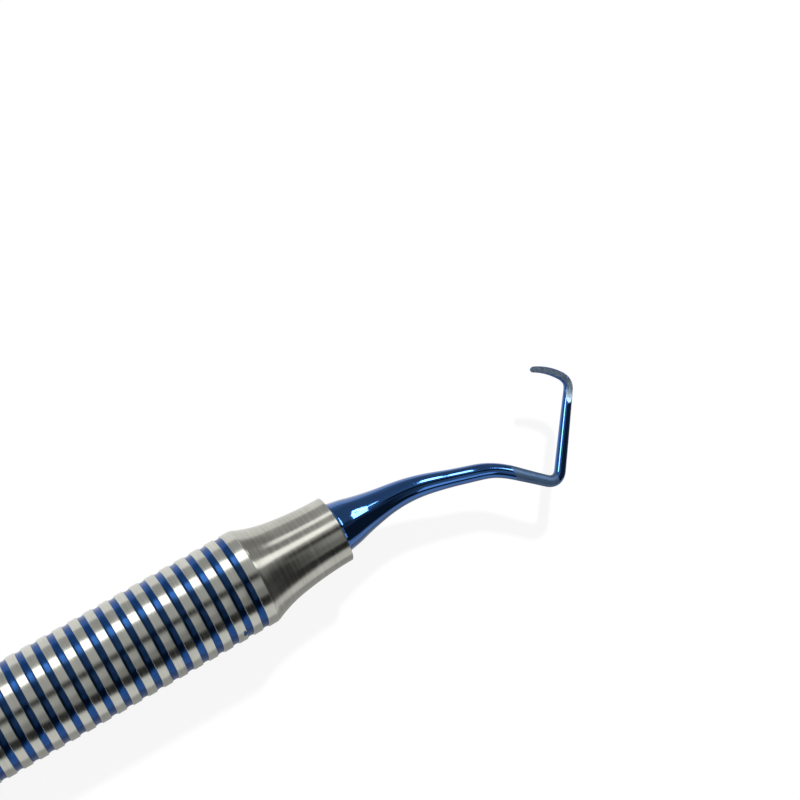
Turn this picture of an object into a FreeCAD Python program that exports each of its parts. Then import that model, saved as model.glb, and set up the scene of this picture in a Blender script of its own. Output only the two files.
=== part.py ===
"""Double-ended hand scaler: hollow steel handle, two collars and two bent working ends.

The instrument lies flat. The origin is at the middle of the handle, on its axis. +X runs along
the handle towards the front tip, the shank bends in the XY plane, and +Z points up. Millimetres.
"""
import FreeCAD, Part
import math
import os

# Handle: one outside diameter, with a tapered collar closing each end
handle_diameter = 10.0
handle_length = 120.0          # from one end face to the other
collar_length = 9.25           # the part of each collar that shows
bore_diameter = 8.0            # the barrel is a tube
tang_diameter = 3.2

# Grip: ring grooves cut in the barrel and half filled with enamel
groove_count = 24
groove_pitch = 1.65
groove_width = 0.73
groove_floor_width = 0.55
groove_depth = 0.30
last_groove_setback = 10.68    # from the end face to the middle of the nearest groove
enamel_recess = 0.09           # how far the enamel's edge lies below the lands
enamel_dish = 0.05             # how far the enamel sags between its edges

# Collar
face_diameter = 6.9
shoulder_slope = 0.46          # how steeply the taper leaves the shoulder
waist_setback = 5.65           # where the taper turns into a nearly straight neck
waist_diameter = 7.81
spigot_length = 10.0
spigot_chamfer = 0.3
seal_setback = 3.0             # from the spigot's end to the middle of the seal
seal_width = 1.0
seal_depth = 0.7
filler_size = 0.6
filler_hollow = 0.35           # depth of the fillet's hollow face, as a share of its size

# Working end: a round shank of falling diameter, bent in the XY plane
foot_diameter = 5.24
foot_length = 0.42
flare_diameter = 3.84          # half way along the flare
neck_diameter = 3.0            # at the start of the first bend
tang_overhang = 1.0            # the tang stands past the spigot's end by this much

# Corners of the shank's centre line, measured from the end face along and across the handle,
# with the radius of each bend and the shank's diameter where that bend starts and ends
first_corner = (8.45, 0.0)
second_corner = (17.15, -2.69)
heel_corner = (22.19, -7.24)
blade_corner = (28.52, 1.33)
first_bend_radius = 18.0
second_bend_radius = 8.6
heel_bend_radius = 1.15
blade_bend_radius = 1.45
first_bend_end_diameter = 2.0
second_bend_start_diameter = 1.74
second_bend_end_diameter = 1.38
heel_diameter = 1.20
last_bend_start_diameter = 0.98
last_bend_end_diameter = 0.86

# Blade: the last stretch of the rod, ground on three sides
blade_angle = 73.0             # between the terminal shank and the start of the blade
blade_length = 2.9             # beyond the last bend
blade_arch_radius = 5.5
side_start = 2.7               # the ground sides start this far before the last corner
side_half_thickness = 0.13     # at the toe
face_toe_depth = 0.26          # from the centre line to the face, at the toe
toe_diameter = 0.66
wheel_radius = 4.0             # reach of the flat that grinds each side
face_wheel_reach = 1.3         # how far the ground face's wedge extends inwards of the blade

handle_radius = handle_diameter / 2
end_face = handle_length / 2
shoulder = end_face - collar_length
spigot_end = shoulder - spigot_length


def vec(x, y, z=0.0):
    return FreeCAD.Vector(x, y, z)


def line(start, end):
    return Part.LineSegment(vec(*start), vec(*end)).toShape()


def arc(start, middle, end):
    return Part.Arc(vec(*start), vec(*middle), vec(*end)).toShape()


def polyline(points):
    return [line(a, b) for a, b in zip(points, points[1:])]


def turned(edges):
    """Solid of revolution about X, from edges that close a loop in (x, radius)."""
    face = Part.Face(Part.Wire(Part.sortEdges(edges)[0]))
    return face.revolve(vec(0, 0), vec(1, 0), 360)


def tube(start, end, outer_radius, inner_radius):
    corners = [(start, inner_radius), (start, outer_radius), (end, outer_radius), (end, inner_radius)]
    return turned(polyline(corners + corners[:1]))


def rear_copy(shape):
    """The matching piece of the rear end: the front piece turned through the origin."""
    half_turn = shape.copy()
    half_turn.rotate(vec(0, 0), vec(0, 0, 1), 180)
    return half_turn.mirror(vec(0, 0), vec(0, 0, 1))


def front_groove_centres():
    last = end_face - last_groove_setback
    return [last - i * groove_pitch for i in range(groove_count)]


def make_barrel():
    """The grooved tube. Its grooves have sloping sides and a flat floor."""
    centres = sorted(front_groove_centres() + [-x for x in front_groove_centres()])
    outline = [(-shoulder, handle_radius)]
    for x in centres:
        outline.append((x - groove_width / 2, handle_radius))
        outline.append((x - groove_floor_width / 2, handle_radius - groove_depth))
        outline.append((x + groove_floor_width / 2, handle_radius - groove_depth))
        outline.append((x + groove_width / 2, handle_radius))
    outline.append((shoulder, handle_radius))
    outline.append((shoulder, bore_diameter / 2))
    outline.append((-shoulder, bore_diameter / 2))
    return turned(polyline(outline + outline[:1]))


def make_enamel_ring(x):
    """Enamel in one groove: it covers the floor, wets the sides and dishes in the middle."""
    floor = handle_radius - groove_depth
    edge = handle_radius - enamel_recess
    side_slope = (groove_width - groove_floor_width) / 2 / groove_depth
    floor_half = groove_floor_width / 2
    edge_half = floor_half + (edge - floor) * side_slope
    edges = polyline([(x - edge_half, edge), (x - floor_half, floor), (x + floor_half, floor),
                      (x + edge_half, edge)])
    edges.append(arc((x + edge_half, edge), (x, edge - enamel_dish), (x - edge_half, edge)))
    return turned(edges)


def make_grip_enamel():
    return Part.makeCompound([make_enamel_ring(x) for x in front_groove_centres()])


def tangent_arc(start, slope, end):
    """Arc from start to end that leaves start with the given slope."""
    run = end[0] - start[0]
    rise = end[1] - start[1]
    leaving = math.atan(slope)
    turn = 2 * (math.atan2(rise, run) - leaving)
    chord = math.hypot(run, rise)
    bulge = chord / 2 * math.tan(turn / 4)
    middle_x = start[0] + run / 2 + bulge * rise / chord
    middle_y = start[1] + rise / 2 - bulge * run / chord
    return arc(start, (middle_x, middle_y), end), math.tan(leaving + turn)


def make_collar():
    """Tapered end piece: a dished taper outside, a spigot inside the barrel, bored for the tang."""
    waist = end_face - waist_setback
    taper, waist_slope = tangent_arc((shoulder, handle_radius), -shoulder_slope,
                                     (waist, waist_diameter / 2))
    neck, _ = tangent_arc((waist, waist_diameter / 2), waist_slope, (end_face, face_diameter / 2))
    seal_middle = spigot_end + seal_setback
    seat_radius = bore_diameter / 2 - seal_depth
    outline = [(end_face, face_diameter / 2), (end_face, tang_diameter / 2),
               (spigot_end, tang_diameter / 2),
               (spigot_end, bore_diameter / 2 - spigot_chamfer),
               (spigot_end + spigot_chamfer, bore_diameter / 2),
               (seal_middle - seal_width / 2, bore_diameter / 2),
               (seal_middle - seal_width / 2, seat_radius),
               (seal_middle + seal_width / 2, seat_radius),
               (seal_middle + seal_width / 2, bore_diameter / 2),
               (shoulder, bore_diameter / 2), (shoulder, handle_radius)]
    return turned(polyline(outline) + [taper, neck])


def make_seal_ring():
    """Square-section ring in the spigot's groove, squeezed against the barrel's bore."""
    middle = spigot_end + seal_setback
    bore_radius = bore_diameter / 2
    return tube(middle - seal_width / 2, middle + seal_width / 2, bore_radius, bore_radius - seal_depth)


def make_filler_ring():
    """Fillet of brazing filler where the tang comes out of the spigot, inside the handle."""
    tang_radius = tang_diameter / 2
    top = (spigot_end, tang_radius + filler_size)
    toe = (spigot_end - filler_size, tang_radius)
    depth = filler_size * filler_hollow
    hollow = (spigot_end - depth, tang_radius + depth)
    return turned([line((spigot_end, tang_radius), top), arc(top, hollow, toe),
                   line(toe, (spigot_end, tang_radius))])


def make_root():
    """Tang, foot and flare: the straight part of the working end, turned about the axis."""
    tang_radius = tang_diameter / 2
    tang_end = spigot_end - tang_overhang
    flare_start = end_face + foot_length
    flare_end = end_face + first_bend_start()
    outline = [(flare_end, 0), (tang_end, 0), (tang_end, tang_radius), (end_face, tang_radius),
               (end_face, foot_diameter / 2), (flare_start, foot_diameter / 2)]
    flare = arc((flare_start, foot_diameter / 2),
                ((flare_start + flare_end) / 2, flare_diameter / 2),
                (flare_end, neck_diameter / 2))
    closing = line((flare_end, neck_diameter / 2), (flare_end, 0))
    return turned(polyline(outline) + [flare, closing])


def corner_point(corner):
    return vec(end_face + corner[0], corner[1])


def first_bend_start():
    turn = math.atan2(second_corner[1] - first_corner[1], second_corner[0] - first_corner[0])
    return first_corner[0] - first_bend_radius * math.tan(abs(turn) / 2)


def unit(vector):
    return vector * (1 / vector.Length)


def bend_points(before, corner, after, radius):
    """Start, middle and end of the arc that rounds a corner of the centre line."""
    back = unit(before - corner)
    ahead = unit(after - corner)
    half_angle = back.getAngle(ahead) / 2
    reach = radius / math.tan(half_angle)
    depth = radius / math.sin(half_angle) - radius
    return corner + back * reach, corner + unit(back + ahead) * depth, corner + ahead * reach


def disc(centre, direction, diameter):
    return Part.Wire(Part.makeCircle(diameter / 2, centre, direction))


def swept(path, sections):
    """Solid that runs along the path from the first section to the last."""
    shell = Part.BRepOffsetAPI.MakePipeShell(Part.Wire(path))
    for section in sections:
        shell.add(section)
    shell.build()
    shell.makeSolid()
    return shell.shape()


def rod_bend(points, start_direction, end_direction, start_diameter, end_diameter):
    path = Part.Arc(*points).toShape()
    sections = [disc(points[0], start_direction, start_diameter),
                disc(points[2], end_direction, end_diameter)]
    return swept(path, sections)


def rod_run(start, end, start_diameter, end_diameter):
    run = end - start
    return Part.makeCone(start_diameter / 2, end_diameter / 2, run.Length, start, unit(run))


def blade_frame():
    """Last corner, with the directions of the terminal shank, of the blade and across both."""
    corner = corner_point(blade_corner)
    shank = unit(corner - corner_point(heel_corner))
    sideways = vec(-shank.y, shank.x)
    angle = math.radians(blade_angle)
    blade = shank * math.cos(angle) + sideways * math.sin(angle)
    return corner, shank, blade, shank.cross(sideways)


def blade_arc(start, blade, across):
    """Start, middle and end of the blade's gentle arch, and its direction at the end."""
    inward = across.cross(blade)
    sweep = blade_length / blade_arch_radius

    def point(angle):
        ahead = blade * (blade_arch_radius * math.sin(angle))
        return start + ahead + inward * (blade_arch_radius * (1 - math.cos(angle)))

    end_direction = blade * math.cos(sweep) + inward * math.sin(sweep)
    return (start, point(sweep / 2), point(sweep)), end_direction


def make_shank():
    """The bent round rod from the first bend to the start of the blade."""
    corners = [corner_point(c) for c in (first_corner, second_corner, heel_corner, blade_corner)]
    _, shank, blade, _ = blade_frame()
    ahead = [unit(b - a) for a, b in zip(corners, corners[1:])] + [blade]
    behind = [vec(1, 0)] + ahead[:-1]
    radii = (first_bend_radius, second_bend_radius, heel_bend_radius, blade_bend_radius)
    starts = (neck_diameter, second_bend_start_diameter, heel_diameter, last_bend_start_diameter)
    ends = (first_bend_end_diameter, second_bend_end_diameter, heel_diameter, last_bend_end_diameter)
    bends = [bend_points(c - b, c, c + a, r) for c, b, a, r in zip(corners, behind, ahead, radii)]
    pieces = [rod_bend(p, b, a, s, e) for p, b, a, s, e in zip(bends, behind, ahead, starts, ends)]
    for i in range(3):
        pieces.append(rod_run(bends[i][2], bends[i + 1][0], ends[i], starts[i + 1]))
    return pieces, bends[-1][2]


def make_blade_rod(start, blade, across):
    points, end_direction = blade_arc(start, blade, across)
    rod = rod_bend(points, blade, end_direction, last_bend_end_diameter, toe_diameter)
    return [rod, Part.makeSphere(toe_diameter / 2, points[2])]


def side_cutters(corner, shank, blade, across):
    """Discs that grind the two sides of the blade flat, closing in towards the toe."""
    start = corner - shank * side_start
    to_toe = shank * side_start + blade * blade_length
    start_half = last_bend_start_diameter / 2
    slope = (start_half - side_half_thickness) / to_toe.Length
    cutters = []
    for side in (1, -1):
        normal = unit(across * side + unit(to_toe) * slope)
        middle_half = (start_half + side_half_thickness) / 2
        middle = start + to_toe / 2 + across * (side * middle_half)
        cutters.append(Part.makeCylinder(wheel_radius, start_half * 2, middle, normal))
    return cutters


def face_cutter(start, blade, across):
    """Wedge that grinds the blade's inner side, deeper towards the toe."""
    (_, middle, end), end_direction = blade_arc(start, blade, across)
    inward = across.cross(blade)
    end_inward = across.cross(end_direction)
    heel_depth = last_bend_end_diameter / 2
    middle_inward = unit(inward + end_inward)
    middle_depth = (heel_depth + face_toe_depth) / 2
    past_toe = end_direction * toe_diameter
    surface = Part.Arc(start + inward * heel_depth, middle + middle_inward * middle_depth,
                       end + end_inward * face_toe_depth + past_toe).toShape()
    below = middle + middle_inward * face_wheel_reach
    first, last = (surface.Vertexes[0].Point, surface.Vertexes[-1].Point)
    sides = [Part.LineSegment(last, below).toShape(), Part.LineSegment(below, first).toShape()]
    outline = Part.Face(Part.Wire([surface] + sides))
    width = last_bend_start_diameter * 2
    outline.translate(across * (-width / 2))
    return outline.extrude(across * width)


def make_working_end():
    """Tang, shank and blade in one piece of hardened steel."""
    corner, shank, blade, across = blade_frame()
    pieces, blade_start = make_shank()
    pieces += make_blade_rod(blade_start, blade, across)
    rod = make_root().multiFuse(pieces)
    cutters = side_cutters(corner, shank, blade, across)
    cutters.append(face_cutter(blade_start, blade, across))
    return rod.cut(cutters)


def main():
    os.makedirs("parts", exist_ok=True)
    make_barrel().exportStep("parts/handle_barrel.step")
    front_pieces = {
        "grip_enamel": make_grip_enamel(),
        "collar": make_collar(),
        "seal_ring": make_seal_ring(),
        "filler_ring": make_filler_ring(),
        "working_end": make_working_end(),
    }
    for name, shape in front_pieces.items():
        shape.exportStep("parts/front_" + name + ".step")
        rear_copy(shape).exportStep("parts/rear_" + name + ".step")


main()
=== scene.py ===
"""Looks for the hand scaler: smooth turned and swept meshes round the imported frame.

Metres, in the row frame: +X along the handle to the front tip, shanks bent in the XY plane, +Z up.
The shank and blade are worked out in millimetres and scaled when their mesh is made.
"""
import math

import bpy
import numpy as np
from mathutils import Matrix, Vector


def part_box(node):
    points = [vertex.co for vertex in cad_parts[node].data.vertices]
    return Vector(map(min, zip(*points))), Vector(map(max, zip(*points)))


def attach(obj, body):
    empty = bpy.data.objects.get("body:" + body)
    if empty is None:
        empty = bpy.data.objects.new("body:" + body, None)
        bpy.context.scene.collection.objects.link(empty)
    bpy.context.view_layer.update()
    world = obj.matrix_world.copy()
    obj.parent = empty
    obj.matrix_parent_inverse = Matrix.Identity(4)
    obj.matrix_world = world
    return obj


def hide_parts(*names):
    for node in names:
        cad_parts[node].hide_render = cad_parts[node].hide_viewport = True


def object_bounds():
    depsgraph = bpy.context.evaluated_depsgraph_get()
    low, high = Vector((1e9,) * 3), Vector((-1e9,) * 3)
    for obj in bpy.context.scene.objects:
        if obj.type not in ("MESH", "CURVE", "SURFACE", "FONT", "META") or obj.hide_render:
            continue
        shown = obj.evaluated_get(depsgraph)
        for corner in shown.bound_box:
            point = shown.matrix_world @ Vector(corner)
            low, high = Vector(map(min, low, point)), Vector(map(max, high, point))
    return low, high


MM = 0.001

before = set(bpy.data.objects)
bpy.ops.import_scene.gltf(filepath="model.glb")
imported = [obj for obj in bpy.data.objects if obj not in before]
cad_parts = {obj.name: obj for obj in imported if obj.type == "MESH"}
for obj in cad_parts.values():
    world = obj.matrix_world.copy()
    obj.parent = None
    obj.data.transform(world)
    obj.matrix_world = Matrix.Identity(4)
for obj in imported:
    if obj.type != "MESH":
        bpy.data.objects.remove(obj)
cad_low, cad_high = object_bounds()

# ---------------------------------------------------------------- sizes taken from the frame
BARREL_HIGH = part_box("handle_barrel")[1]
COLLAR_LOW, COLLAR_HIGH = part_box("front_collar")
SEAL_LOW, SEAL_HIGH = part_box("front_seal_ring")
HANDLE_RADIUS = BARREL_HIGH.z
SHOULDER = BARREL_HIGH.x
END_FACE = COLLAR_HIGH.x
SPIGOT_END = COLLAR_LOW.x
BORE_RADIUS = SEAL_HIGH.z
TANG_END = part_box("front_working_end")[0].x

# ---------------------------------------------------------------- handle and grip
TANG_RADIUS = 1.6 * MM
GROOVE_COUNT = 24
GROOVE_PITCH = 1.65 * MM
GROOVE_WIDTH = 0.73 * MM
GROOVE_FLOOR = 0.55 * MM
GROOVE_DEPTH = 0.30 * MM
LAST_GROOVE = END_FACE - 10.68 * MM
LAND_ROUND = 0.035 * MM
SEAM_CHAMFER = 0.05 * MM
ENAMEL_RECESS = 0.09 * MM       # how far the enamel's edge lies below the lands
ENAMEL_DISH = 0.06 * MM         # how far the enamel sags between its edges
ENAMEL_STEPS = 9
ENAMEL_WAVE = 0.012 * MM        # height of the slow waves round each ring
WAVE_TURNS = (3, 7, 13)         # waves in one turn
ENAMEL_SEED = 7
TURN_SEGMENTS = 160
ROUND_STEPS = 3
HANDLE_SHARP = 35               # degrees; edges that turn more than this stay sharp, here and below

# a smear of enamel that has run from the last groove but one on to the land beside it, low on one side
SMEAR_LENGTH = 0.42 * MM
SMEAR_WIDTH = 1.1 * MM
SMEAR_THICKNESS = 0.03 * MM
SMEAR_SHIFT = 0.4               # share of its length from the groove's edge to its middle
SMEAR_PLACE = LAST_GROOVE - GROOVE_PITCH - GROOVE_WIDTH / 2 - SMEAR_SHIFT * SMEAR_LENGTH
SMEAR_ANGLE = math.radians(59)  # from the top, towards -Y
SMEAR_RINGS = (1.0, 0.9, 0.7, 0.45, 0.2)
SMEAR_WAVES = ((3, 0.12, 0.6), (5, 0.07, 2.0))      # waves round its outline, height, start
SMEAR_SEGMENTS = 48
SMEAR_SHARP = 60

# ---------------------------------------------------------------- collar
FACE_RADIUS = 3.45 * MM
WAIST_SETBACK = 5.65 * MM
WAIST_RADIUS = 3.905 * MM
SHOULDER_SLOPE = 0.46
SPIGOT_CHAMFER = 0.3 * MM
SEAL_DEPTH = 0.7 * MM
RIM_ROUND = 0.03 * MM
PROFILE_STEPS = 24
COLLAR_SHARP = 22

# ---------------------------------------------------------------- shank and blade, in millimetres
# corners of the centre line, measured from the end face, and the length of the bend at each; the last
# two are the heel bend and the blade bend, with the straight terminal shank between them
CORNERS = [(8.45, -0.04), (17.15, -2.69), (22.19, -7.24), (28.52, 1.33)]
BEND_LENGTHS = [7.4, 4.9, 2.35, 2.23]
FOOT_LENGTH = 0.42
FOOT_RADIUS = 2.62
FOOT_ROUND = 0.05
FLARE_START_RADIUS = 2.59
# (distance from the end face, radius) of the flare and the tapering shank, up to the heel bend; the
# radii after these are at the start and the end of the last two bends
SHANK_RADII = [(1.65, 2.36), (2.65, 2.10), (3.65, 1.87), (5.83, 1.48), (8.5, 1.205), (11.3, 1.0),
               (13.2, 0.90), (15.6, 0.855), (17.6, 0.75)]
HEEL_RADIUS = 0.605
HEEL_END_RADIUS = 0.595
BLADE_BEND_RADIUS = 0.49
BLADE_RADIUS = 0.43
TOE_RADIUS = 0.33
TOE_LENGTH = 0.48
BLADE_ANGLE = math.radians(73)
BLADE_LENGTH = 2.57
BLADE_ARCH = 5.48               # radius of the blade's gentle curve
SIDE_START = 2.7                # the ground sides start this far before the last corner
SIDE_HALF_TOE = 0.13            # half the blade's thickness at the toe
FACE_TOE_DEPTH = 0.26           # from the centre line to the ground face at the toe
ROD_SEGMENTS = 96
ROD_STEP = 0.06
NOSE_STEPS = 12
BEND_SAMPLES = 400
TIP_SHARP = 30
UNCUT = FOOT_RADIUS             # a grinding limit further out than any part of the rod
UP = np.array([0, 0, 1.0])
# finishes of the working end, numbered as its materials are; where two meet, the lower number wins
COATED, GROUND, FACET = 0, 1, 2

# a facet ground over the start of the last bend, sloping from the blade's side towards its back
FACET_LENGTH = 2.4
FACET_SETBACK = 1.0             # from its end to the start of the blade
FACET_DEPTH = 0.20
FACET_FULLNESS = 0.7            # power of the sine that its depth follows; less is fuller at the ends
FACET_SLOPE = math.radians(15)


# ---------------------------------------------------------------- mesh helpers
def add_mesh(name, vertices, faces, sharp_angle):
    mesh = bpy.data.meshes.new(name)
    mesh.from_pydata([tuple(v) for v in vertices], [], faces)
    mesh.shade_smooth()
    mesh.set_sharp_from_angle(angle=math.radians(sharp_angle))
    piece = bpy.data.objects.new(name, mesh)
    bpy.context.scene.collection.objects.link(piece)
    return piece


def ring_faces(rings, segments, first=0, closed=True):
    """Outward quads between neighbouring rings; closed also joins the last ring to the first."""
    faces = []
    for i in range(rings if closed else rings - 1):
        a = first + i * segments
        b = first + (i + 1) % rings * segments
        for j in range(segments):
            k = (j + 1) % segments
            faces.append((a + j, a + k, b + k, b + j))
    return faces


def fan(centre, ring, segments, flipped):
    """Triangles that close a ring of points with one point in its middle."""
    faces = [(centre, ring + j, ring + (j + 1) % segments) for j in range(segments)]
    return [face[::-1] for face in faces] if flipped else faces


def circle_angles(segments):
    return np.arange(segments) * 2 * math.pi / segments


def turned_points(profile, wobble=0.0):
    """Points of a profile of (x, radius) turned about X, ring by ring; wobble is added to each radius."""
    angles = circle_angles(TURN_SEGMENTS)
    rings = []
    for x, radius in profile:
        radii = radius + wobble
        rings.append(np.stack([0 * angles + x, -radii * np.sin(angles), radii * np.cos(angles)], 1))
    return np.concatenate(rings)


def turned_piece(name, profile, sharp_angle):
    """Piece turned from a closed profile that runs towards +X along its outside."""
    return add_mesh(name, turned_points(profile), ring_faces(len(profile), TURN_SEGMENTS), sharp_angle)


def rounded_corner(before, corner, after, radius):
    """Points of a small curve that rounds one corner of a profile."""
    corner = np.array(corner)
    back = unit(np.array(before) - corner)
    ahead = unit(np.array(after) - corner)
    first = corner + back * radius
    last = corner + ahead * radius
    shares = np.linspace(0, 1, ROUND_STEPS + 1)
    return [tuple((1 - t) ** 2 * first + 2 * t * (1 - t) * corner + t * t * last) for t in shares]


def unit(vector):
    return vector / np.linalg.norm(vector)


def rear_copy(piece, name):
    """The matching piece of the rear end: every point taken through the origin."""
    mesh = piece.data.copy()
    mesh.transform(Matrix.Scale(-1, 4))
    mesh.flip_normals()
    copy = bpy.data.objects.new(name, mesh)
    bpy.context.scene.collection.objects.link(copy)
    return copy


# ---------------------------------------------------------------- handle
def groove_centres():
    return [LAST_GROOVE - i * GROOVE_PITCH for i in range(GROOVE_COUNT)]


def groove_profile(x):
    """Outline of one groove between two lands, with its upper edges rounded."""
    top = HANDLE_RADIUS
    floor = HANDLE_RADIUS - GROOVE_DEPTH
    left, right = x - GROOVE_WIDTH / 2, x + GROOVE_WIDTH / 2
    floor_left, floor_right = x - GROOVE_FLOOR / 2, x + GROOVE_FLOOR / 2
    points = rounded_corner((left - GROOVE_FLOOR, top), (left, top), (floor_left, floor), LAND_ROUND)
    points += [(floor_left, floor), (floor_right, floor)]
    points += rounded_corner((floor_right, floor), (right, top), (right + GROOVE_FLOOR, top), LAND_ROUND)
    return points


def make_barrel():
    centres = sorted(groove_centres() + [-x for x in groove_centres()])
    chamfer_start = (SHOULDER - SEAM_CHAMFER, HANDLE_RADIUS)
    chamfer_end = (SHOULDER, HANDLE_RADIUS - SEAM_CHAMFER)
    profile = [(-chamfer_end[0], chamfer_end[1]), (-chamfer_start[0], chamfer_start[1])]
    for x in centres:
        profile += groove_profile(x)
    profile += [chamfer_start, chamfer_end, (SHOULDER, BORE_RADIUS), (-SHOULDER, BORE_RADIUS)]
    return turned_piece("handle_tube", profile, HANDLE_SHARP)


def make_enamel():
    """Enamel rings: each wets the groove's sides and has a slightly uneven surface."""
    random = np.random.default_rng(ENAMEL_SEED)
    floor = HANDLE_RADIUS - GROOVE_DEPTH
    edge = HANDLE_RADIUS - ENAMEL_RECESS
    slope = (GROOVE_WIDTH - GROOVE_FLOOR) / 2 / GROOVE_DEPTH
    half_floor = GROOVE_FLOOR / 2
    half_edge = half_floor + (edge - floor) * slope
    angles = circle_angles(TURN_SEGMENTS)
    shares = np.linspace(-1, 1, ENAMEL_STEPS)
    points = []
    faces = []
    count = 0
    for x in groove_centres():
        wave = sum(np.sin(n * angles + random.uniform(0, 2 * math.pi)) / n for n in WAVE_TURNS)
        surface = [(x + half_edge * t, edge - ENAMEL_DISH * (1 - t * t)) for t in shares]
        points.append(turned_points(surface, ENAMEL_WAVE * wave))
        points.append(turned_points([(x + half_floor, floor), (x - half_floor, floor)]))
        rings = ENAMEL_STEPS + 2
        faces += ring_faces(rings, TURN_SEGMENTS, count)
        count += rings * TURN_SEGMENTS
    return add_mesh("front_grip_rings", np.concatenate(points), faces, HANDLE_SHARP)


def make_smear():
    """A thin domed patch that follows the land's curve, with an uneven outline and its rim sunk in."""
    angles = circle_angles(SMEAR_SEGMENTS)
    outline = 1 + sum(height * np.sin(n * angles + start) for n, height, start in SMEAR_WAVES)
    top = HANDLE_RADIUS + SMEAR_THICKNESS
    rim = HANDLE_RADIUS - LAND_ROUND
    points = []
    for share in SMEAR_RINGS:
        x = SMEAR_PLACE + SMEAR_LENGTH / 2 * share * outline * np.cos(angles)
        turn = SMEAR_ANGLE + SMEAR_WIDTH / 2 / HANDLE_RADIUS * share * outline * np.sin(angles)
        radius = rim if share == 1.0 else HANDLE_RADIUS + SMEAR_THICKNESS * (1 - share ** 4)
        points += [(a, radius, b) for a, b in zip(x, turn)]
    points += [(SMEAR_PLACE, top, SMEAR_ANGLE), (SMEAR_PLACE, rim, SMEAR_ANGLE)]
    vertices = [(x, -radius * math.sin(turn), radius * math.cos(turn)) for x, radius, turn in points]
    faces = [face[::-1] for face in ring_faces(len(SMEAR_RINGS), SMEAR_SEGMENTS, closed=False)]
    back = len(vertices) - 1
    centre = back - 1
    inner = centre - SMEAR_SEGMENTS
    faces += fan(centre, inner, SMEAR_SEGMENTS, True)
    faces += fan(back, 0, SMEAR_SEGMENTS, False)
    return add_mesh("front_enamel_smear", vertices, faces, SMEAR_SHARP)


# ---------------------------------------------------------------- collar
def tangent_arc(start, slope, end):
    """Points of the arc from start to end that leaves start with the given slope, and its end slope."""
    start, end = np.array(start), np.array(end)
    chord = end - start
    leaving = math.atan(slope)
    half_turn = math.atan2(chord[1], chord[0]) - leaving
    radius = np.linalg.norm(chord) / 2 / math.sin(half_turn)
    centre = start + radius * np.array([-math.sin(leaving), math.cos(leaving)])
    headings = leaving + 2 * half_turn * np.linspace(0, 1, PROFILE_STEPS)
    points = [tuple(centre + radius * np.array([math.sin(h), -math.cos(h)])) for h in headings]
    return points, math.tan(leaving + 2 * half_turn)


def spigot_profile():
    """The collar's hidden half, from its end face back through the bore and round to the shoulder."""
    seat_radius = BORE_RADIUS - SEAL_DEPTH
    return [
        (END_FACE, TANG_RADIUS),
        (SPIGOT_END, TANG_RADIUS),
        (SPIGOT_END, BORE_RADIUS - SPIGOT_CHAMFER),
        (SPIGOT_END + SPIGOT_CHAMFER, BORE_RADIUS),
        (SEAL_LOW.x, BORE_RADIUS),
        (SEAL_LOW.x, seat_radius),
        (SEAL_HIGH.x, seat_radius),
        (SEAL_HIGH.x, BORE_RADIUS),
        (SHOULDER, BORE_RADIUS),
    ]


def make_collar():
    waist = (END_FACE - WAIST_SETBACK, WAIST_RADIUS)
    taper, waist_slope = tangent_arc((SHOULDER, HANDLE_RADIUS), -SHOULDER_SLOPE, waist)
    neck, _ = tangent_arc(waist, waist_slope, (END_FACE, FACE_RADIUS))
    seam = [(SHOULDER, HANDLE_RADIUS - SEAM_CHAMFER)]
    rim = rounded_corner(neck[-2], (END_FACE, FACE_RADIUS), (END_FACE, TANG_RADIUS), RIM_ROUND)
    profile = seam + taper[1:] + neck[1:-1] + rim + spigot_profile()
    return turned_piece("front_cone", profile, COLLAR_SHARP)


# ---------------------------------------------------------------- shank and blade
def smooth_ramp(t):
    t = np.clip(t, 0, 1)
    return t * t * (3 - 2 * t)


def bend_reach(length, turn):
    """Distance from the start of a bend to its corner, for a heading that ramps smoothly."""
    t = (np.arange(BEND_SAMPLES) + 0.5) / BEND_SAMPLES
    chord = length * np.mean(np.cos(turn * (smooth_ramp(t) - 0.5)))
    return chord / 2 / math.cos(turn / 2)


def shank_plan():
    """Headings of the straight runs, the turn at each bend, and the distances where bends start."""
    corners = np.array([(0, 0)] + CORNERS)
    runs = np.diff(corners, axis=0)
    headings = np.arctan2(runs[:, 1], runs[:, 0])
    turns = list(np.diff(headings)) + [BLADE_ANGLE]
    starts = []
    s = 0.0
    reach_before = 0.0
    for run, length, turn in zip(np.linalg.norm(runs, axis=1), BEND_LENGTHS, turns):
        reach = bend_reach(length, turn)
        s += run - reach_before - reach
        starts.append(s)
        s += length
        reach_before = reach
    return headings, turns, starts


def centre_line(positions, headings, turns, starts):
    """Points of the bent rod's centre line and its directions; the blade arches on past the last bend."""
    heading = np.full(len(positions), headings[0])
    for start, length, turn in zip(starts, BEND_LENGTHS, turns):
        heading += turn * smooth_ramp((positions - start) / length)
    blade_start = starts[3] + BEND_LENGTHS[3]
    heading += np.clip(positions - blade_start, 0, None) / BLADE_ARCH
    tangents = np.stack([np.cos(heading), np.sin(heading), 0 * heading], 1)
    points = np.cumsum(tangents, axis=0) * ROD_STEP
    return points - points[0] + np.array([END_FACE / MM, 0, 0]), tangents


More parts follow.
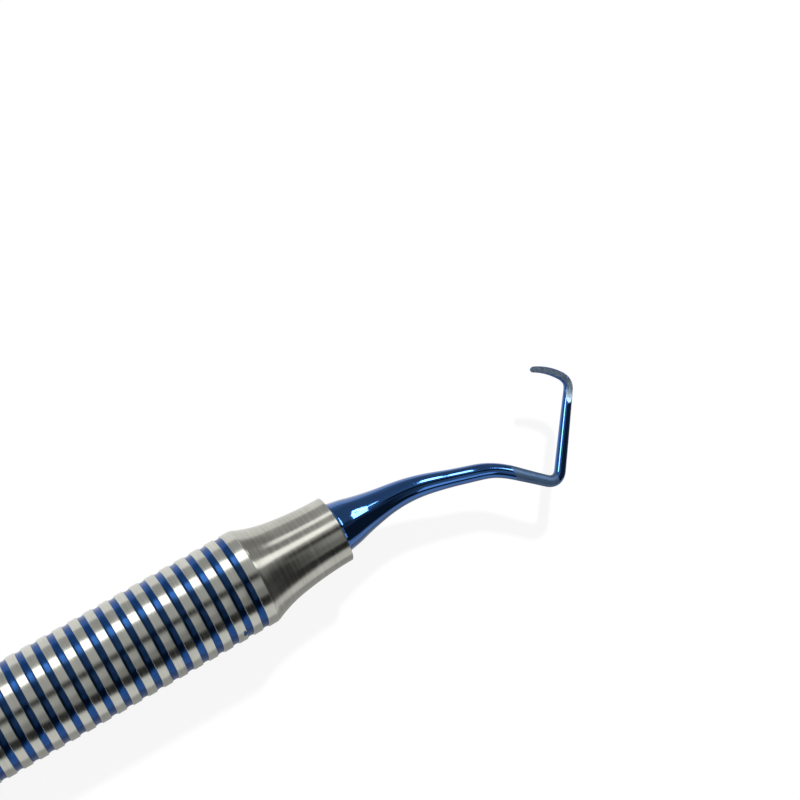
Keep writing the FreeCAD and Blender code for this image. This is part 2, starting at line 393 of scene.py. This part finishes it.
def smooth_curve(knots, positions):
    """Smooth curve through a few (distance, value) knots, without overshoot."""
    x, y = np.array(knots).T
    slopes = np.diff(y) / np.diff(x)
    products = slopes[:-1] * slopes[1:]
    sums = slopes[:-1] + slopes[1:]
    middle = np.where(products > 0, 2 * products / np.where(sums == 0, 1, sums), 0)
    leaving = np.concatenate([[slopes[0]], middle, [slopes[-1]]])
    i = np.clip(np.searchsorted(x, positions) - 1, 0, len(x) - 2)
    h = x[i + 1] - x[i]
    t = np.clip((positions - x[i]) / h, 0, 1)
    from_values = (1 + 2 * t) * (1 - t) ** 2 * y[i] + t * t * (3 - 2 * t) * y[i + 1]
    from_slopes = t * (1 - t) ** 2 * leaving[i] - t * t * (1 - t) * leaving[i + 1]
    return from_values + h * from_slopes


def rod_radii(positions, starts):
    knots = [(FOOT_LENGTH, FLARE_START_RADIUS)] + SHANK_RADII
    knots += [
        (starts[2], HEEL_RADIUS),
        (starts[2] + BEND_LENGTHS[2], HEEL_END_RADIUS),
        (starts[3], BLADE_BEND_RADIUS),
        (starts[3] + BEND_LENGTHS[3], BLADE_RADIUS),
        (positions[-1] + ROD_STEP, TOE_RADIUS),
    ]
    foot_edge = np.minimum(positions, FOOT_LENGTH - positions) / FOOT_ROUND
    foot = FOOT_RADIUS - FOOT_ROUND * (1 - np.clip(foot_edge, 0, 1)) ** 2
    return np.where(positions < FOOT_LENGTH, foot, smooth_curve(knots, positions))


def add_nose(positions, points, tangents, radii):
    """Adds the rings of a half egg that rounds off the toe, and its last point."""
    turns = np.linspace(0, math.pi / 2, NOSE_STEPS + 1)[1:-1]
    reach = TOE_LENGTH * np.sin(turns)
    last_point = points[-1] + TOE_LENGTH * tangents[-1]
    positions = np.concatenate([positions, positions[-1] + reach])
    points = np.concatenate([points, points[-1] + reach[:, None] * tangents[-1]])
    tangents = np.concatenate([tangents, [tangents[-1]] * len(turns)])
    radii = np.concatenate([radii, radii[-1] * np.cos(turns)])
    return positions, points, tangents, radii, last_point


def rod_rings(points, tangents, u, v):
    """Rings round the centre line: u runs from it to the inner side of the bends and v runs up."""
    inward = np.cross(UP, tangents)[:, None, :]
    return points[:, None, :] + u[..., None] * inward + v[..., None] * UP


def side_limits(positions, points, radii, rings, bend_start):
    """Largest height of each point once the blade's two sides are ground to a taper."""
    side_start = bend_start + bend_reach(BEND_LENGTHS[3], BLADE_ANGLE) - SIDE_START
    first = int(np.searchsorted(positions, side_start))
    to_toe = points[-1] - points[first]
    share = (rings - points[first]) @ to_toe / (to_toe @ to_toe)
    half = radii[first] + (SIDE_HALF_TOE - radii[first]) * share
    return np.where(np.arange(len(positions))[:, None] < first, UNCUT, half)


def face_limits(positions, blade_start):
    """Largest inward distance in each ring once the blade's face is ground."""
    along = (positions - blade_start) / (positions[-1] - blade_start)
    depth = np.where(along > 0, BLADE_RADIUS + (FACE_TOE_DEPTH - BLADE_RADIUS) * along, UNCUT)
    return depth[:, None]


def facet_cut(positions, radii, u, v, blade_start):
    """How far each point moves back when the facet is ground, and the way the facet faces in u and v."""
    share = (positions - blade_start + FACET_SETBACK) / FACET_LENGTH + 1
    bite = FACET_DEPTH * np.sin(math.pi * np.clip(share, 0, 1)) ** FACET_FULLNESS
    facing_u, facing_v = -math.sin(FACET_SLOPE), math.cos(FACET_SLOPE)
    past = u * facing_u + v * facing_v - (radii - bite)[:, None]
    return np.where(bite[:, None] > 0, np.clip(past, 0, None), 0), facing_u, facing_v


def grind(positions, points, tangents, radii, starts):
    """Rings of the rod with the blade's sides, face and facet ground flat, and each point's finish."""
    blade_start = starts[3] + BEND_LENGTHS[3]
    angles = circle_angles(ROD_SEGMENTS)
    u = radii[:, None] * np.cos(angles)
    v = radii[:, None] * np.sin(angles)

    half = side_limits(positions, points, radii, rod_rings(points, tangents, u, v), starts[3])
    finish = np.where(np.abs(v) > half, GROUND, COATED)
    v = np.clip(v, -half, half)

    depth = face_limits(positions, blade_start)
    finish = np.where(u > depth, GROUND, finish)
    u = np.minimum(u, depth)

    cut, facing_u, facing_v = facet_cut(positions, radii, u, v, blade_start)
    finish = np.where(cut > 0, FACET, finish)
    return rod_rings(points, tangents, u - cut * facing_u, v - cut * facing_v), finish


def tang_rings():
    """Rings at the two ends of the hidden tang, in metres."""
    angles = circle_angles(ROD_SEGMENTS)
    circle = np.stack([0 * angles, np.cos(angles), np.sin(angles)], 1) * TANG_RADIUS
    return np.stack([circle + np.array([x, 0, 0]) for x in (TANG_END, END_FACE)])


def face_finishes(finish):
    """Finish of every face from those of its points: the quads, then the tang's end, then the toe."""
    lowest = np.minimum(finish, np.roll(finish, -1, axis=1))
    walls = np.minimum(lowest[:-1], lowest[1:])
    return np.concatenate([walls.ravel(), np.repeat([COATED, GROUND], ROD_SEGMENTS)])


def make_working_end():
    headings, turns, starts = shank_plan()
    total = starts[3] + BEND_LENGTHS[3] + BLADE_LENGTH
    positions = np.arange(0, total, ROD_STEP)
    points, tangents = centre_line(positions, headings, turns, starts)
    radii = rod_radii(positions, starts)
    positions, points, tangents, radii, toe = add_nose(positions, points, tangents, radii)
    rings, finish = grind(positions, points, tangents, radii, starts)

    tang = tang_rings()
    rings = np.concatenate([tang, rings * MM])
    finish = np.concatenate([np.full(tang.shape[:2], COATED), finish])
    vertices = list(rings.reshape(-1, 3)) + [(TANG_END, 0, 0), toe * MM]
    faces = ring_faces(len(rings), ROD_SEGMENTS, closed=False)
    faces += fan(len(vertices) - 2, 0, ROD_SEGMENTS, True)
    faces += fan(len(vertices) - 1, (len(rings) - 1) * ROD_SEGMENTS, ROD_SEGMENTS, False)
    tip = add_mesh("front_tip", vertices, faces, TIP_SHARP)
    # the third material, for the facet, is ground steel painted lighter: a painted highlight
    for material in (blue_mirror(), ground_steel("ground_steel"), ground_steel("facet_painted_highlight")):
        tip.data.materials.append(material)
    tip.data.polygons.foreach_set("material_index", face_finishes(finish))
    return tip


# ---------------------------------------------------------------- materials
HAZE_START = END_FACE + 18.5 * MM
HAZE_END = END_FACE + 22.3 * MM
HAZE_EDGE = 0.08 * MM
HAZE_ROUGHNESS = 0.55
COAT_WEIGHT = 0.8
COAT_ROUGHNESS = 0.05

# the two colours that each surface's noise blends between
COLOURS = {
    "barrel_steel": ((0.53, 0.535, 0.485, 1), (0.66, 0.665, 0.60, 1)),
    "collar_steel": ((0.46, 0.455, 0.41, 1), (0.62, 0.615, 0.56, 1)),
    # painted shade and painted light: the enamel is one material, darker where it faces the camera and
    # lighter where it slants
    "enamel_shaded_facing": ((0.012, 0.040, 0.11, 1), (0.020, 0.062, 0.17, 1)),
    "enamel_lit_slanting": ((0.014, 0.068, 0.24, 1), (0.022, 0.092, 0.31, 1)),
    "coating": ((0.018, 0.110, 0.36, 1), (0.026, 0.138, 0.43, 1)),
    "dull_coating": ((0.095, 0.165, 0.290, 1), (0.130, 0.210, 0.350, 1)),
    "ground_steel": ((0.08, 0.11, 0.15, 1), (0.14, 0.18, 0.24, 1)),
    # painted highlight: the facet is ground steel like the blade, painted lighter to show the light it
    # reflects
    "facet_painted_highlight": ((0.36, 0.50, 0.64, 1), (0.46, 0.61, 0.75, 1)),
    "rubber": ((0.012, 0.012, 0.013, 1), (0.035, 0.034, 0.033, 1)),
    "filler": ((0.70, 0.52, 0.24, 1), (0.38, 0.22, 0.10, 1)),
}

# frequencies of each surface's noise along X, Y and Z, per metre
NOISE = {
    "turning_fine": (16000, 120, 120),
    "turning_coarse": (4500, 90, 90),
    "steel_cloud": (350, 350, 350),
    "enamel_cloud": (900, 900, 900),
    "enamel_ripple": (2500, 2500, 2500),
    "coating_cloud": (260, 260, 260),
    "coating_marks": (700, 700, 6000),
    "stone_marks": (9000, 1500, 400),
    "rubber_grain": (3000, 3000, 3000),
    "filler_ripples": (6000, 1200, 1200),
    "filler_tarnish": (1500, 1500, 1500),
}

# roughness of each surface where its noise is low and where it is high
ROUGHNESS = {
    "steel": (0.18, 0.25),
    "enamel": (0.24, 0.16),
    "coating": (0.055, 0.075),
    "ground": (0.30, 0.46),
    "rubber": (0.55, 0.75),
    "filler": (0.22, 0.5),
}

# depth of each surface's relief and how strongly it shows
RELIEF = {
    "steel": (0.003 * MM, 0.9),
    "enamel": (0.01 * MM, 0.35),
    "coating": (0.001 * MM, 0.1),
    "ground": (0.004 * MM, 0.5),
    "rubber": (0.01 * MM, 0.5),
    "filler": (0.02 * MM, 0.5),
}

# the mix node's colour inputs and output, which share their names with its other sockets
MIX_FIRST, MIX_SECOND, MIX_RESULT = 6, 7, 2


def add_node(tree, kind, inputs, **settings):
    """Adds a node, sets its properties, and fills its inputs with values or links."""
    made = tree.nodes.new(kind)
    for key, value in settings.items():
        setattr(made, key, value)
    for key, value in inputs.items():
        if isinstance(value, bpy.types.NodeSocket):
            tree.links.new(value, made.inputs[key])
        else:
            made.inputs[key].default_value = value
    return made


def new_material(name, metallic):
    material = bpy.data.materials.new(name)
    material.use_nodes = True
    tree = material.node_tree
    shader = tree.nodes["Principled BSDF"]
    shader.inputs["Metallic"].default_value = metallic
    return material, tree, shader


def maths(tree, operation, *values):
    return add_node(tree, "ShaderNodeMath", dict(enumerate(values)), operation=operation).outputs[0]


def stretched_noise(tree, name, detail=3.0):
    """Noise with its own frequency along each axis: unequal frequencies make marks."""
    place = add_node(tree, "ShaderNodeTexCoord", {}).outputs["Object"]
    scaled = add_node(tree, "ShaderNodeMapping", {"Vector": place, "Scale": NOISE[name]})
    inputs = {"Vector": scaled.outputs["Vector"], "Scale": 1.0, "Detail": detail}
    return add_node(tree, "ShaderNodeTexNoise", inputs).outputs["Fac"]


def ranged(tree, value, low, high, start=0.3, end=0.7):
    """The value's usual range of start to end, mapped to low to high."""
    inputs = {"Value": value, "From Min": start, "From Max": end, "To Min": low, "To Max": high}
    return add_node(tree, "ShaderNodeMapRange", inputs).outputs["Result"]


def mixed(tree, share, first, second):
    inputs = {"Factor": share, "A": first, "B": second}
    return add_node(tree, "ShaderNodeMix", inputs, data_type="FLOAT").outputs["Result"]


def blended(tree, share, first, second):
    inputs = {"Factor": share, MIX_FIRST: first, MIX_SECOND: second}
    return add_node(tree, "ShaderNodeMix", inputs, data_type="RGBA").outputs[MIX_RESULT]


def bumped(tree, shader, height, name):
    distance, strength = RELIEF[name]
    inputs = {"Height": height, "Distance": distance, "Strength": strength}
    tree.links.new(add_node(tree, "ShaderNodeBump", inputs).outputs["Normal"], shader.inputs["Normal"])


def turned_steel(name):
    """Satin steel off the lathe: fine marks round the axis, and a glint drawn out along it."""
    material, tree, shader = new_material(name, 1.0)
    fine = stretched_noise(tree, "turning_fine")
    coarse = stretched_noise(tree, "turning_coarse")
    cloud = stretched_noise(tree, "steel_cloud")
    tone = maths(tree, "ADD", cloud, coarse)
    colour = blended(tree, ranged(tree, tone, 0, 1, 0.6, 1.4), *COLOURS[name])
    tree.links.new(colour, shader.inputs["Base Color"])
    tree.links.new(ranged(tree, coarse, *ROUGHNESS["steel"]), shader.inputs["Roughness"])
    bumped(tree, shader, maths(tree, "ADD", fine, coarse), "steel")
    shader.inputs["Anisotropic"].default_value = 0.5
    shader.inputs["Anisotropic Rotation"].default_value = 0.25
    tangent = add_node(tree, "ShaderNodeTangent", {}, direction_type="RADIAL", axis="X")
    tree.links.new(tangent.outputs["Tangent"], shader.inputs["Tangent"])
    return material


def blue_enamel():
    """Metallic blue filling with clouds and a faintly rippled surface, painted darker where it faces the
    camera (painted shade for the groove's walls) and lighter where it slants.
    """
    material, tree, shader = new_material("blue_enamel", 1.0)
    cloud = stretched_noise(tree, "enamel_cloud")
    clouds = ranged(tree, cloud, 0, 1)
    shaded_colour = blended(tree, clouds, *COLOURS["enamel_shaded_facing"])
    lit_colour = blended(tree, clouds, *COLOURS["enamel_lit_slanting"])
    facing = add_node(tree, "ShaderNodeLayerWeight", {"Blend": 0.5}).outputs["Facing"]
    # painted shade: the colour darkens where the enamel faces the camera
    colour = blended(tree, ranged(tree, facing, 0, 1, 0.04, 0.22), shaded_colour, lit_colour)
    tree.links.new(colour, shader.inputs["Base Color"])
    tree.links.new(ranged(tree, cloud, *ROUGHNESS["enamel"]), shader.inputs["Roughness"])
    bumped(tree, shader, stretched_noise(tree, "enamel_ripple"), "enamel")
    return material


def hazed_stretch(tree):
    """1 on the short run between the second bend and the heel bend, where the coating is dull, else 0."""
    place = add_node(tree, "ShaderNodeTexCoord", {}).outputs["Object"]
    x = add_node(tree, "ShaderNodeSeparateXYZ", {"Vector": place}).outputs["X"]
    distance = maths(tree, "ABSOLUTE", x)
    started = ranged(tree, distance, 0, 1, HAZE_START - HAZE_EDGE, HAZE_START + HAZE_EDGE)
    not_ended = ranged(tree, distance, 1, 0, HAZE_END - HAZE_EDGE, HAZE_END + HAZE_EDGE)
    return maths(tree, "MULTIPLY", started, not_ended)


def blue_mirror():
    """Polished steel under a hard blue coating, with a few polishing marks and one dull stretch."""
    material, tree, shader = new_material("blue_mirror", 1.0)
    cloud = stretched_noise(tree, "coating_cloud")
    marks = stretched_noise(tree, "coating_marks")
    hazed = hazed_stretch(tree)
    colour = blended(tree, ranged(tree, cloud, 0, 1), *COLOURS["coating"])
    slate = blended(tree, ranged(tree, marks, 0, 1), *COLOURS["dull_coating"])
    tree.links.new(blended(tree, hazed, colour, slate), shader.inputs["Base Color"])
    roughness = mixed(tree, hazed, ranged(tree, marks, *ROUGHNESS["coating"]), HAZE_ROUGHNESS)
    tree.links.new(roughness, shader.inputs["Roughness"])
    bumped(tree, shader, marks, "coating")
    tree.links.new(mixed(tree, hazed, COAT_WEIGHT, 0.0), shader.inputs["Coat Weight"])
    shader.inputs["Coat Roughness"].default_value = COAT_ROUGHNESS
    return material


def ground_steel(name):
    """The blade's ground surfaces: dull grey-blue with fine marks from the stone; the facet's colours are
    much lighter, a painted highlight.
    """
    material, tree, shader = new_material(name, 1.0)
    marks = stretched_noise(tree, "stone_marks")
    colour = blended(tree, ranged(tree, marks, 0, 1), *COLOURS[name])
    tree.links.new(colour, shader.inputs["Base Color"])
    tree.links.new(ranged(tree, marks, *ROUGHNESS["ground"]), shader.inputs["Roughness"])
    bumped(tree, shader, marks, "ground")
    return material


def seal_rubber():
    """Black moulded rubber with a dusty bloom."""
    material, tree, shader = new_material("seal_rubber", 0.0)
    grain = stretched_noise(tree, "rubber_grain", 6.0)
    colour = blended(tree, ranged(tree, grain, 0, 1), *COLOURS["rubber"])
    tree.links.new(colour, shader.inputs["Base Color"])
    tree.links.new(ranged(tree, grain, *ROUGHNESS["rubber"]), shader.inputs["Roughness"])
    bumped(tree, shader, grain, "rubber")
    return material


def braze_filler():
    """Brassy brazing filler, set in ripples and partly tarnished."""
    material, tree, shader = new_material("braze_filler", 1.0)
    ripples = stretched_noise(tree, "filler_ripples")
    tarnish = stretched_noise(tree, "filler_tarnish", 5.0)
    colour = blended(tree, ranged(tree, tarnish, 0, 1), *COLOURS["filler"])
    tree.links.new(colour, shader.inputs["Base Color"])
    tree.links.new(ranged(tree, tarnish, *ROUGHNESS["filler"]), shader.inputs["Roughness"])
    bumped(tree, shader, ripples, "filler")
    return material


# ---------------------------------------------------------------- putting the pieces in place
def place(piece, slot, *replaced):
    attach(piece, "root")
    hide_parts(*replaced)


def place_pair(front, rear_name, slot, node):
    """Places a front piece and its rear copy over the front and rear nodes of the same name."""
    rear = rear_copy(front, rear_name)
    place(front, slot, "front_" + node)
    place(rear, slot, "rear_" + node)
    return [front, rear]


def paint_nodes(node, material):
    """Gives a carried-over pair of CAD nodes its material."""
    for end in ("front_", "rear_"):
        mesh = bpy.data.objects[end + node].data
        mesh.materials.clear()
        mesh.materials.append(material)


enamel = blue_enamel()

barrel = make_barrel()
barrel.data.materials.append(turned_steel("barrel_steel"))
place(barrel, "satin_steel", "handle_barrel")

rings = make_enamel()
rings.data.materials.append(enamel)
both_rings = place_pair(rings, "rear_grip_rings", "blue_enamel", "grip_enamel")

smear = make_smear()
smear.data.materials.append(enamel)
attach(smear, "root")
grip_pieces = [barrel, smear] + both_rings

cone = make_collar()
cone.data.materials.append(turned_steel("collar_steel"))
collars = place_pair(cone, "rear_cone", "satin_steel", "collar")

tips = place_pair(make_working_end(), "rear_tip", "blue_coated_steel", "working_end")
paint_nodes("seal_ring", seal_rubber())
paint_nodes("filler_ring", braze_filler())

# ---------------------------------------------------------------- camera
CAMERA_PLACE = Vector((30.04, 7.94, 179.45)) * MM
CAMERA_TILT = math.radians(13.18)
CAMERA_ROLL = math.radians(-29.28)
CAMERA_LENS = 83.25
CAMERA_SENSOR = 36.0
CAMERA_NEAREST = 10 * MM


def add_camera():
    data = bpy.data.cameras.new("camera")
    data.lens = CAMERA_LENS
    data.sensor_width = CAMERA_SENSOR
    data.clip_start = CAMERA_NEAREST
    camera = bpy.data.objects.new("camera", data)
    tilt = Matrix.Rotation(-CAMERA_TILT, 4, "Y")
    roll = Matrix.Rotation(CAMERA_ROLL, 4, "Z")
    camera.matrix_world = Matrix.Translation(CAMERA_PLACE) @ tilt @ roll
    bpy.context.scene.collection.objects.link(camera)
    bpy.context.scene.camera = camera


# ---------------------------------------------------------------- floor and light
FLOOR_HALF = 3.0
FLOOR_GLOW = 0.90               # a light table: most of the floor's brightness is its own
FLOOR_GREY = 0.1
FLOOR_ROUGHNESS = 0.9
SUN_FROM = Vector((0.40, 0.573, 0.716))
SUN_STRENGTH = 3.6
SUN_WIDTH = math.radians(4)

# Walls and flags of the studio, each (lean towards +X, lean towards +Y, size along X, size along Y, turn,
# softness, radiance). Lean is the angle from straight up to the middle; all angles are in degrees.
# Later panels lie over earlier ones. They also stand in for the floor in reflections.
PANELS = {
    "floor": (0, 180, 150, 150, 0, 3, 0.93),
    "floor_south": (0, -140, 150, 60, 0, 8, 0.38),
    "wall_south": (0, -91, 150, 42, 0, 4, 0.78),
    "wall_north": (0, 92, 150, 30, 0, 3, 0.41),
    "wall_east": (66, 22, 84, 96, 0, 6, 0.27),
    "ceiling_south": (0, -38, 140, 20, 0, 6, 0.28),
    "ceiling_south_east": (32, -20, 32, 44, 0, 6, 0.16),
    "flag_south": (3, -61.5, 112, 27, 0, 4, 0.02),
    "flag_south_east": (42, -43, 34, 62, 12, 6, 0.04),
    "flag_east": (76, -42, 50, 34, -30, 6, 0.08),
    "lens": (0, 0, 60, 14, 0, 5, 0.02),
}
ROOM_RADIANCE = 0.48

# Softboxes that each light one kind of piece: (place along X that it is aimed at, distance, both in
# millimetres, then lean X, lean Y, size X, size Y, turn and radiance as above)
SOFTBOXES = {
    "grip": [
        (0, 1000, 0, 56.5, 50, 22, 0, 2.2),      # the line of glints along the lands
    ],
    "collars": [
        (55, 1000, 33, 21, 50, 15, -5, 1.4),     # the broad highlight
        (55, 1000, 10, 58, 50, 12, 0, 1.2),      # the fainter one above it
    ],
    "tips": [
        (62, 1000, 40, 11, 9, 18, 0, 11.0),      # on the flare
        (73.5, 45, 27, 30, 5, 18, -20, 13.0),    # on the arch of the shank
        (85, 1000, -29, 34, 6, 12, 53, 13.0),    # along the terminal shank
        (72, 1000, 8, -46, 12, 22, 0, 1.2),      # the dim streak under the arch
        (87, 45, 52, 12, 24, 20, 0, 4.0),        # on the facet
    ],
}


def panel_turn(lean_x, lean_y, turn):
    """Turn that takes +Z to the panel's middle, with the panel's own X and Y nearest the frame's."""
    azimuth = math.atan2(lean_y, lean_x)
    zenith = math.radians(math.hypot(lean_x, lean_y))
    swing = Matrix.Rotation(azimuth, 3, "Z") @ Matrix.Rotation(zenith, 3, "Y")
    return swing @ Matrix.Rotation(math.radians(turn) - azimuth, 3, "Z")


def add_panel(tree, direction, radiance_before, panel):
    """Lays one panel over the studio's light and returns the new radiance."""
    lean_x, lean_y, size_x, size_y, turn, softness, radiance = panel
    side_x, side_y, middle = panel_turn(lean_x, lean_y, turn).col
    dot = {"operation": "DOT_PRODUCT"}
    ahead = add_node(tree, "ShaderNodeVectorMath", {0: direction, 1: middle}, **dot).outputs["Value"]
    mask = maths(tree, "GREATER_THAN", ahead, 0.0)
    for side, size in ((side_x, size_x), (side_y, size_y)):
        inner, outer = (math.tan(math.radians(size / 2 + soft)) for soft in (-softness, softness))
        off = add_node(tree, "ShaderNodeVectorMath", {0: direction, 1: side}, **dot).outputs["Value"]
        distance = maths(tree, "ABSOLUTE", maths(tree, "DIVIDE", off, ahead))
        inputs = {"Value": distance, "From Min": inner, "From Max": outer, "To Min": 1.0, "To Max": 0.0}
        inside = add_node(tree, "ShaderNodeMapRange", inputs, interpolation_type="SMOOTHSTEP")
        mask = maths(tree, "MULTIPLY", mask, inside.outputs["Result"])
    return mixed(tree, mask, radiance_before, radiance)


def add_studio():
    world = bpy.data.worlds.new("studio")
    world.use_nodes = True
    bpy.context.scene.world = world
    tree = world.node_tree
    direction = add_node(tree, "ShaderNodeTexCoord", {}).outputs["Generated"]
    radiance = ROOM_RADIANCE
    for panel in PANELS.values():
        radiance = add_panel(tree, direction, radiance, panel)
    background = tree.nodes["Background"]
    background.inputs["Color"].default_value = (1, 1, 1, 1)
    tree.links.new(radiance, background.inputs["Strength"])


def add_softbox(name, softbox, pieces):
    """Rectangular light that shows in the reflections of the given pieces only."""
    aim_x, distance, lean_x, lean_y, size_x, size_y, turn, radiance = softbox
    distance = distance * MM
    data = bpy.data.lights.new(name, "AREA")
    data.shape = "RECTANGLE"
    data.size = 2 * distance * math.tan(math.radians(size_x / 2))
    data.size_y = 2 * distance * math.tan(math.radians(size_y / 2))
    data.energy = radiance * math.pi * data.size * data.size_y
    light = bpy.data.objects.new(name, data)
    swing = panel_turn(lean_x, lean_y, turn)
    middle = Vector((aim_x * MM, 0, 0)) + swing.col[2] * distance
    light.matrix_world = Matrix.Translation(middle) @ swing.to_4x4()
    light.visible_camera = False
    light.visible_diffuse = False
    receivers = bpy.data.collections.new(name + "_pieces")
    for piece in pieces:
        receivers.objects.link(piece)
    light.light_linking.receiver_collection = receivers
    bpy.context.scene.collection.objects.link(light)


def add_sun():
    """Gives the floor its faint shadow; it is kept out of the metal's reflections."""
    data = bpy.data.lights.new("sun", "SUN")
    data.energy = SUN_STRENGTH
    data.angle = SUN_WIDTH
    sun = bpy.data.objects.new("sun", data)
    sun.rotation_euler = SUN_FROM.to_track_quat("Z", "Y").to_euler()
    sun.visible_glossy = False
    bpy.context.scene.collection.objects.link(sun)


def add_floor():
    mesh = bpy.data.meshes.new("floor")
    corners = [(-1, -1), (1, -1), (1, 1), (-1, 1)]
    mesh.from_pydata([(x * FLOOR_HALF, y * FLOOR_HALF, cad_low.z) for x, y in corners], [], [(0, 1, 2, 3)])
    floor = bpy.data.objects.new("floor", mesh)
    bpy.context.scene.collection.objects.link(floor)
    floor.visible_glossy = False
    material, _, shader = new_material("pale_floor", 0.0)
    shader.inputs["Base Color"].default_value = (FLOOR_GREY, FLOOR_GREY, FLOOR_GREY, 1)
    shader.inputs["Roughness"].default_value = FLOOR_ROUGHNESS
    shader.inputs["Specular IOR Level"].default_value = 0.0
    shader.inputs["Emission Color"].default_value = (1, 1, 1, 1)
    shader.inputs["Emission Strength"].default_value = FLOOR_GLOW
    mesh.materials.append(material)


add_camera()
add_floor()
add_sun()
add_studio()
lit_pieces = {"grip": grip_pieces, "collars": collars, "tips": tips}
for group, softboxes in SOFTBOXES.items():
    for number, softbox in enumerate(softboxes):
        add_softbox(f"{group}_softbox_{number}", softbox, lit_pieces[group])
bpy.context.scene.view_settings.view_transform = "Standard"
